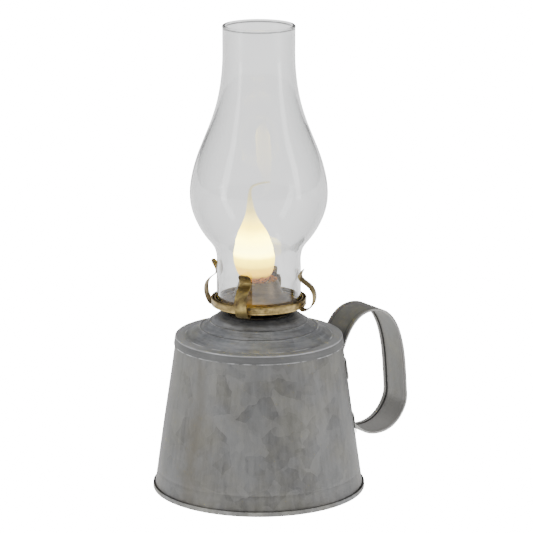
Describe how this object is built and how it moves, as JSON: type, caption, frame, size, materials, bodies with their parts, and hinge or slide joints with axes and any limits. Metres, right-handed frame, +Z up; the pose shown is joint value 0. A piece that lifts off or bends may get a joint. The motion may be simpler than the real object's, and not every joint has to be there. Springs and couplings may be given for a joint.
{
  "type": "electric candle lamp",
  "caption": "Electric candle lamp shaped as an old finger lamp: galvanised drum and lid, strap handle, sprung brass gallery, glass chimney and a silicone flame bulb.",
  "frame": {"origin": "centre of the rim that the drum stands on", "axes": "+Z up along the lamp's axis, +X towards the handle"},
  "size_m": [0.2091, 0.1616, 0.3558],
  "materials": {
    "galvanised_sheet": "satin, with zinc spangle",
    "dark_sheet": "satin, smudged",
    "rivet_steel": "satin",
    "black_rubber": "matte",
    "aged_brass": "antique, dark in the hollows",
    "dark_brass": "antique, nearly black",
    "brushed_bronze": "brushed in circles",
    "plated_steel": "plain plated",
    "nylon": "plain",
    "black_phenolic": "gloss",
    "bright_brass": "plain",
    "black_glass": "gloss",
    "solder": "rounded by the iron",
    "clear_glass": "clear",
    "bulb_glass": "clear",
    "tungsten": "glows when lit",
    "warm_silicone": "translucent, lit from inside"
  },
  "bodies": {
    "lamp": {"base_wall": "galvanised_sheet", "base_pan": "galvanised_sheet", "lid": "dark_sheet", "collar": "dark_brass", "handle_strap": "galvanised_sheet", "handle_rivets": "rivet_steel", "cord_grommet": "black_rubber"},
    "gasket": {"burner_gasket": "black_rubber"},
    "burner": {"burner_cup": "dark_brass", "gallery_ring": "aged_brass", "deflector": "brushed_bronze", "threaded_tube": "plated_steel", "lock_washer": "plated_steel", "lock_nut": "plated_steel", "tube_bush": "nylon", "socket_bracket": "plated_steel", "socket_rivets": "plated_steel", "socket_body": "black_phenolic", "socket_shell": "bright_brass", "centre_contact": "bright_brass"},
    "chimney": {"chimney": "clear_glass"},
    "bulb": {"bulb_screw_cap": "bright_brass", "bulb_insulator": "black_glass", "bulb_contact": "solder", "bulb_glass": "bulb_glass", "bulb_stem": "bulb_glass", "bulb_filament": "tungsten", "flame_skin": "warm_silicone"},
    "prong_1": {"prong_1": "aged_brass"},
    "prong_2": {"prong_2": "aged_brass"},
    "prong_3": {"prong_3": "aged_brass"},
    "prong_4": {"prong_4": "aged_brass"}
  },
  "joints": [
    {"name": "burner_rise", "type": "slide", "parent": "lamp", "child": "gasket", "axis": [0, 0, 1], "range_m": [0, 0.009]},
    {"name": "burner_turn", "type": "hinge", "parent": "gasket", "child": "burner", "pos_m": [0, 0, 0.1402], "axis": [0, 0, 1], "range_deg": [0, 1800]},
    {"name": "chimney_lift", "type": "slide", "parent": "burner", "child": "chimney", "axis": [0, 0, 1], "range_m": [0, 0.1]},
    {"name": "bulb_draw", "type": "slide", "parent": "burner", "child": "bulb", "axis": [-0.0658, 0.0427, 0.9969], "range_m": [0, 0.03]},
    {"name": "prong_1_spring", "type": "hinge", "parent": "burner", "child": "prong_1", "pos_m": [0.02596, 0.02102, 0.14222], "axis": [-0.6293, 0.7771, 0], "range_deg": [0, 6], "stiffness_Nm_per_rad": 1.5},
    {"name": "prong_2_spring", "type": "hinge", "parent": "burner", "child": "prong_2", "pos_m": [-0.02102, 0.02596, 0.14222], "axis": [-0.7771, -0.6293, 0], "range_deg": [0, 6], "stiffness_Nm_per_rad": 1.5},
    {"name": "prong_3_spring", "type": "hinge", "parent": "burner", "child": "prong_3", "pos_m": [-0.02596, -0.02102, 0.14222], "axis": [0.6293, -0.7771, 0], "range_deg": [0, 6], "stiffness_Nm_per_rad": 1.5},
    {"name": "prong_4_spring", "type": "hinge", "parent": "burner", "child": "prong_4", "pos_m": [0.02102, -0.02596, 0.14222], "axis": [0.7771, 0.6293, 0], "range_deg": [0, 6], "stiffness_Nm_per_rad": 1.5}
  ],
  "couplings": [
    {"joint": "burner_rise", "follows": "burner_turn", "m_per_rad": 0.00028648}
  ]
}
